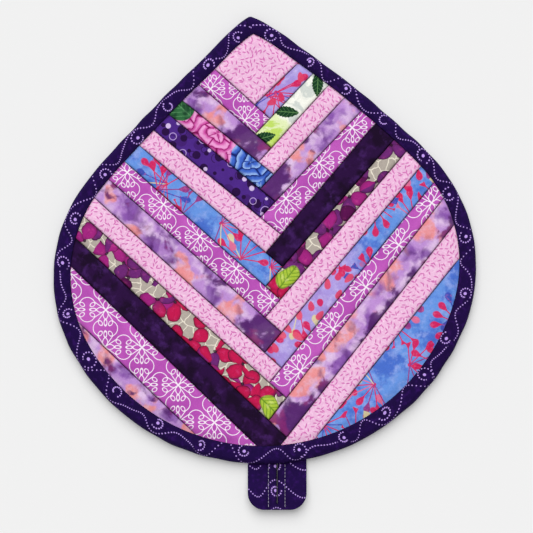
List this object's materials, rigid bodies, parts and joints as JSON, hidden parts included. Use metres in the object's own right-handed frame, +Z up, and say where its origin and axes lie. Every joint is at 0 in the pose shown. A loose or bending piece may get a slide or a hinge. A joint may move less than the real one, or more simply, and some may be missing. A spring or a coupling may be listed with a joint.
{
  "type": "quilted hot pad",
  "caption": "Leaf-shaped quilted hot pad of folded-braid patchwork strips over batting, with a bound edge and a flat hanging loop.",
  "frame": {"origin": "middle of the pad's plan, loop included, on the surface that it lies on", "axes": "+Z up out of the patchwork front; +Y from the hanging loop towards the point; +X to the right seen from the front"},
  "size_m": [0.2316, 0.2702, 0.0071],
  "materials": {
    "binding_cloth": "dark violet cotton printed with rows of small lavender dots in swirls",
    "pink_dash_cloth": "pale pink cotton printed with short darker pink dashes",
    "blue_spray_cloth": "blue to lavender cotton with crimson sprays",
    "cream_floral_cloth": "cream cotton with lime and dark green leaves",
    "lavender_mottle_cloth": "mottled lavender, salmon and purple cotton",
    "scroll_cloth": "orchid cotton printed with pale scroll lines",
    "plum_cloth": "dark purple cotton, faintly mottled",
    "petal_cloth": "beige cotton covered with magenta and purple petals",
    "rose_floral_cloth": "dark cotton with pink and blue blooms",
    "bubble_cloth": "violet cotton printed with discs and rings",
    "backing_cloth": "plain purple cotton",
    "insulating_felt": "needled insulating felt",
    "cotton_felt": "needled cotton felt"
  },
  "bodies": {
    "root": {"backing": "backing_cloth", "insulating_batting": "insulating_felt", "cotton_batting": "cotton_felt", "top_patch": "pink_dash_cloth", "right_strip_01": "blue_spray_cloth", "right_strip_02": "cream_floral_cloth", "right_strip_03": "pink_dash_cloth", "right_strip_04": "lavender_mottle_cloth", "right_strip_05": "scroll_cloth", "right_strip_06": "plum_cloth", "right_strip_07": "petal_cloth", "right_strip_08": "pink_dash_cloth", "right_strip_09": "blue_spray_cloth", "right_strip_10": "scroll_cloth", "right_strip_11": "lavender_mottle_cloth", "right_strip_12": "pink_dash_cloth", "right_strip_13": "blue_spray_cloth", "left_strip_01": "scroll_cloth", "left_strip_02": "lavender_mottle_cloth", "left_strip_03": "rose_floral_cloth", "left_strip_04": "bubble_cloth", "left_strip_05": "pink_dash_cloth", "left_strip_06": "blue_spray_cloth", "left_strip_07": "scroll_cloth", "left_strip_08": "lavender_mottle_cloth", "left_strip_09": "pink_dash_cloth", "left_strip_10": "petal_cloth", "left_strip_11": "plum_cloth", "left_strip_12": "scroll_cloth", "left_strip_13": "lavender_mottle_cloth", "binding": "binding_cloth", "hanging_loop": "binding_cloth"}
  },
  "joints": []
}
